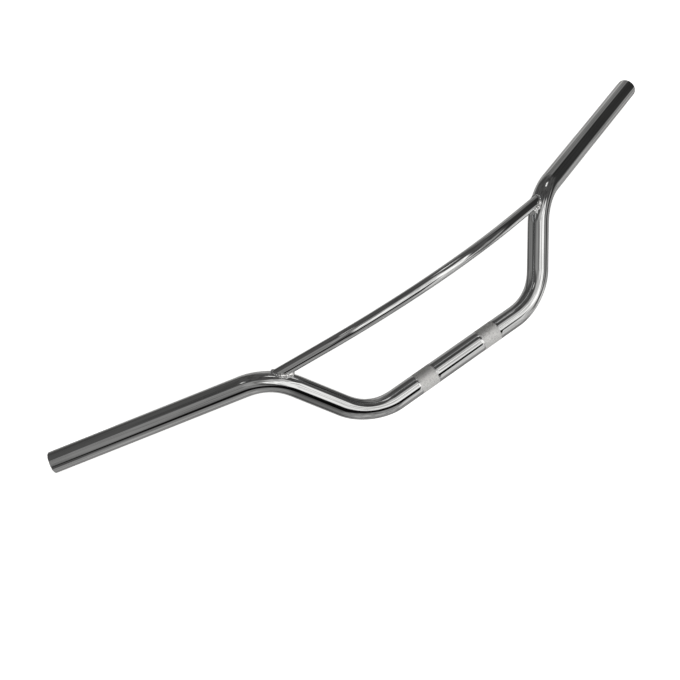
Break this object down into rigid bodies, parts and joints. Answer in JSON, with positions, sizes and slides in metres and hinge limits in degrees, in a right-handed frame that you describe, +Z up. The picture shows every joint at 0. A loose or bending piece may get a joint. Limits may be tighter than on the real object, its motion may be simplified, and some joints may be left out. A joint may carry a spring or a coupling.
{
  "type": "braced motorcycle handlebar",
  "caption": "Chrome-plated steel motorcycle handlebar with raised, swept-back ends, knurled clamp bands and a forward-bowed crossbar welded between its risers.",
  "frame": {"origin": "centre of the clamp section, on the main tube's centreline midway between the grips", "axes": "+X along the clamp section towards the right-hand grip, +Z up the plane of the risers, +Y back towards the rider"},
  "size_m": [0.7832, 0.1439, 0.153],
  "materials": {
    "tube": "mirror-bright chrome plate, satin on the knurled clamp bands",
    "crossbar": "mirror-bright chrome plate",
    "weld": "chrome plate over a rippled weld bead"
  },
  "bodies": {
    "root": {"main_tube": "tube", "grip_end_left": "tube", "grip_end_right": "tube", "crossbar": "crossbar", "weld_left": "weld", "weld_right": "weld"}
  },
  "joints": []
}
